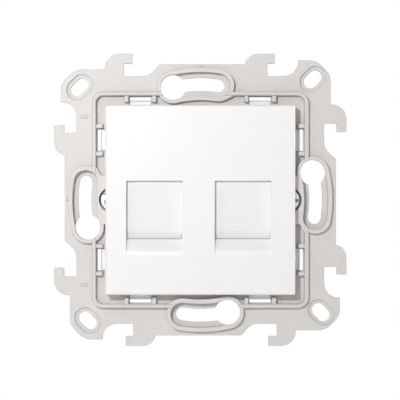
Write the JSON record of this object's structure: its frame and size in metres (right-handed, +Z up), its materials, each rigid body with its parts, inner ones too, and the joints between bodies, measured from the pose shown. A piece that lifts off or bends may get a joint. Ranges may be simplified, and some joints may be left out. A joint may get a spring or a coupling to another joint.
{
  "type": "ethernet wall socket",
  "caption": "Twin network wall socket: square cover with sprung dust shutters over two modular jacks, held in a moulded mounting frame with keyhole slots and spreader claws.",
  "frame": {"origin": "centre of the screw circle on the mounting frame's back face, which is the wall's surface", "axes": "+X right, +Y into the wall, +Z up; the front faces -Y"},
  "size_m": [0.0764, 0.032, 0.0764],
  "materials": {
    "frame_plastic": "satin grey-white moulding",
    "cover_plastic": "fine-grained white, soft sheen",
    "carrier_plastic": "plain white",
    "housing_plastic": "black glass-filled plastic",
    "terminal_plastic": "off-white, translucent look",
    "cap_plastic": "plain white",
    "board_laminate": "green solder mask",
    "contact_metal": "gold flashed",
    "spring_steel": "bright drawn wire",
    "plated_steel": "bright zinc plating"
  },
  "bodies": {
    "socket": {"mounting_frame": "frame_plastic", "cover_plate": "cover_plastic", "jack_carrier": "carrier_plastic", "left_shutter_spring": "spring_steel", "left_jack_housing": "housing_plastic", "left_jack_contacts": "contact_metal", "left_circuit_board": "board_laminate", "left_terminal_block": "terminal_plastic", "left_terminal_blades": "contact_metal", "left_wire_cap": "cap_plastic", "left_claw_pin": "plated_steel", "right_shutter_spring": "spring_steel", "right_jack_housing": "housing_plastic", "right_jack_contacts": "contact_metal", "right_circuit_board": "board_laminate", "right_terminal_block": "terminal_plastic", "right_terminal_blades": "contact_metal", "right_wire_cap": "cap_plastic", "right_claw_pin": "plated_steel"},
    "left_shutter": {"left_shutter": "cover_plastic"},
    "left_claw_screw": {"left_claw_screw": "plated_steel"},
    "left_claw": {"left_claw": "plated_steel"},
    "left_claw_nut": {"left_claw_nut": "plated_steel"},
    "right_shutter": {"right_shutter": "cover_plastic"},
    "right_claw_screw": {"right_claw_screw": "plated_steel"},
    "right_claw": {"right_claw": "plated_steel"},
    "right_claw_nut": {"right_claw_nut": "plated_steel"}
  },
  "joints": [
    {"name": "left_shutter_slide", "type": "slide", "parent": "socket", "child": "left_shutter", "axis": [0, 0, 1], "range_m": [0, 0.0126], "stiffness_N_per_m": 20, "springref_m": -0.006, "deforming": ["left_shutter_spring"]},
    {"name": "left_claw_screw_turn", "type": "hinge", "parent": "socket", "child": "left_claw_screw", "pos_m": [-0.02308, 0, 0], "axis": [0, 1, 0], "range_deg": [0, 510]},
    {"name": "left_claw_nut_slide", "type": "slide", "parent": "socket", "child": "left_claw_nut", "axis": [0, -1, 0], "range_m": [0, 0.00087]},
    {"name": "left_claw_swing", "type": "hinge", "parent": "socket", "child": "left_claw", "pos_m": [-0.0266, 0.017, 0], "axis": [0, 0, -1], "range_deg": [0, 20.2]},
    {"name": "right_shutter_slide", "type": "slide", "parent": "socket", "child": "right_shutter", "axis": [0, 0, 1], "range_m": [0, 0.0126], "stiffness_N_per_m": 20, "springref_m": -0.006, "deforming": ["right_shutter_spring"]},
    {"name": "right_claw_screw_turn", "type": "hinge", "parent": "socket", "child": "right_claw_screw", "pos_m": [0.02308, 0, 0], "axis": [0, 1, 0], "range_deg": [0, 510]},
    {"name": "right_claw_nut_slide", "type": "slide", "parent": "socket", "child": "right_claw_nut", "axis": [0, -1, 0], "range_m": [0, 0.00087]},
    {"name": "right_claw_swing", "type": "hinge", "parent": "socket", "child": "right_claw", "pos_m": [0.0266, 0.017, 0], "axis": [0, 0, 1], "range_deg": [0, 20.2]}
  ],
  "couplings": [
    {"joint": "left_claw_nut_slide", "follows": "left_claw_screw_turn", "m_per_rad": 0.000095493},
    {"joint": "left_claw_swing", "follows": "left_claw_screw_turn", "ratio": 0.039216},
    {"joint": "right_claw_nut_slide", "follows": "right_claw_screw_turn", "m_per_rad": 0.000095493},
    {"joint": "right_claw_swing", "follows": "right_claw_screw_turn", "ratio": 0.039216}
  ]
}
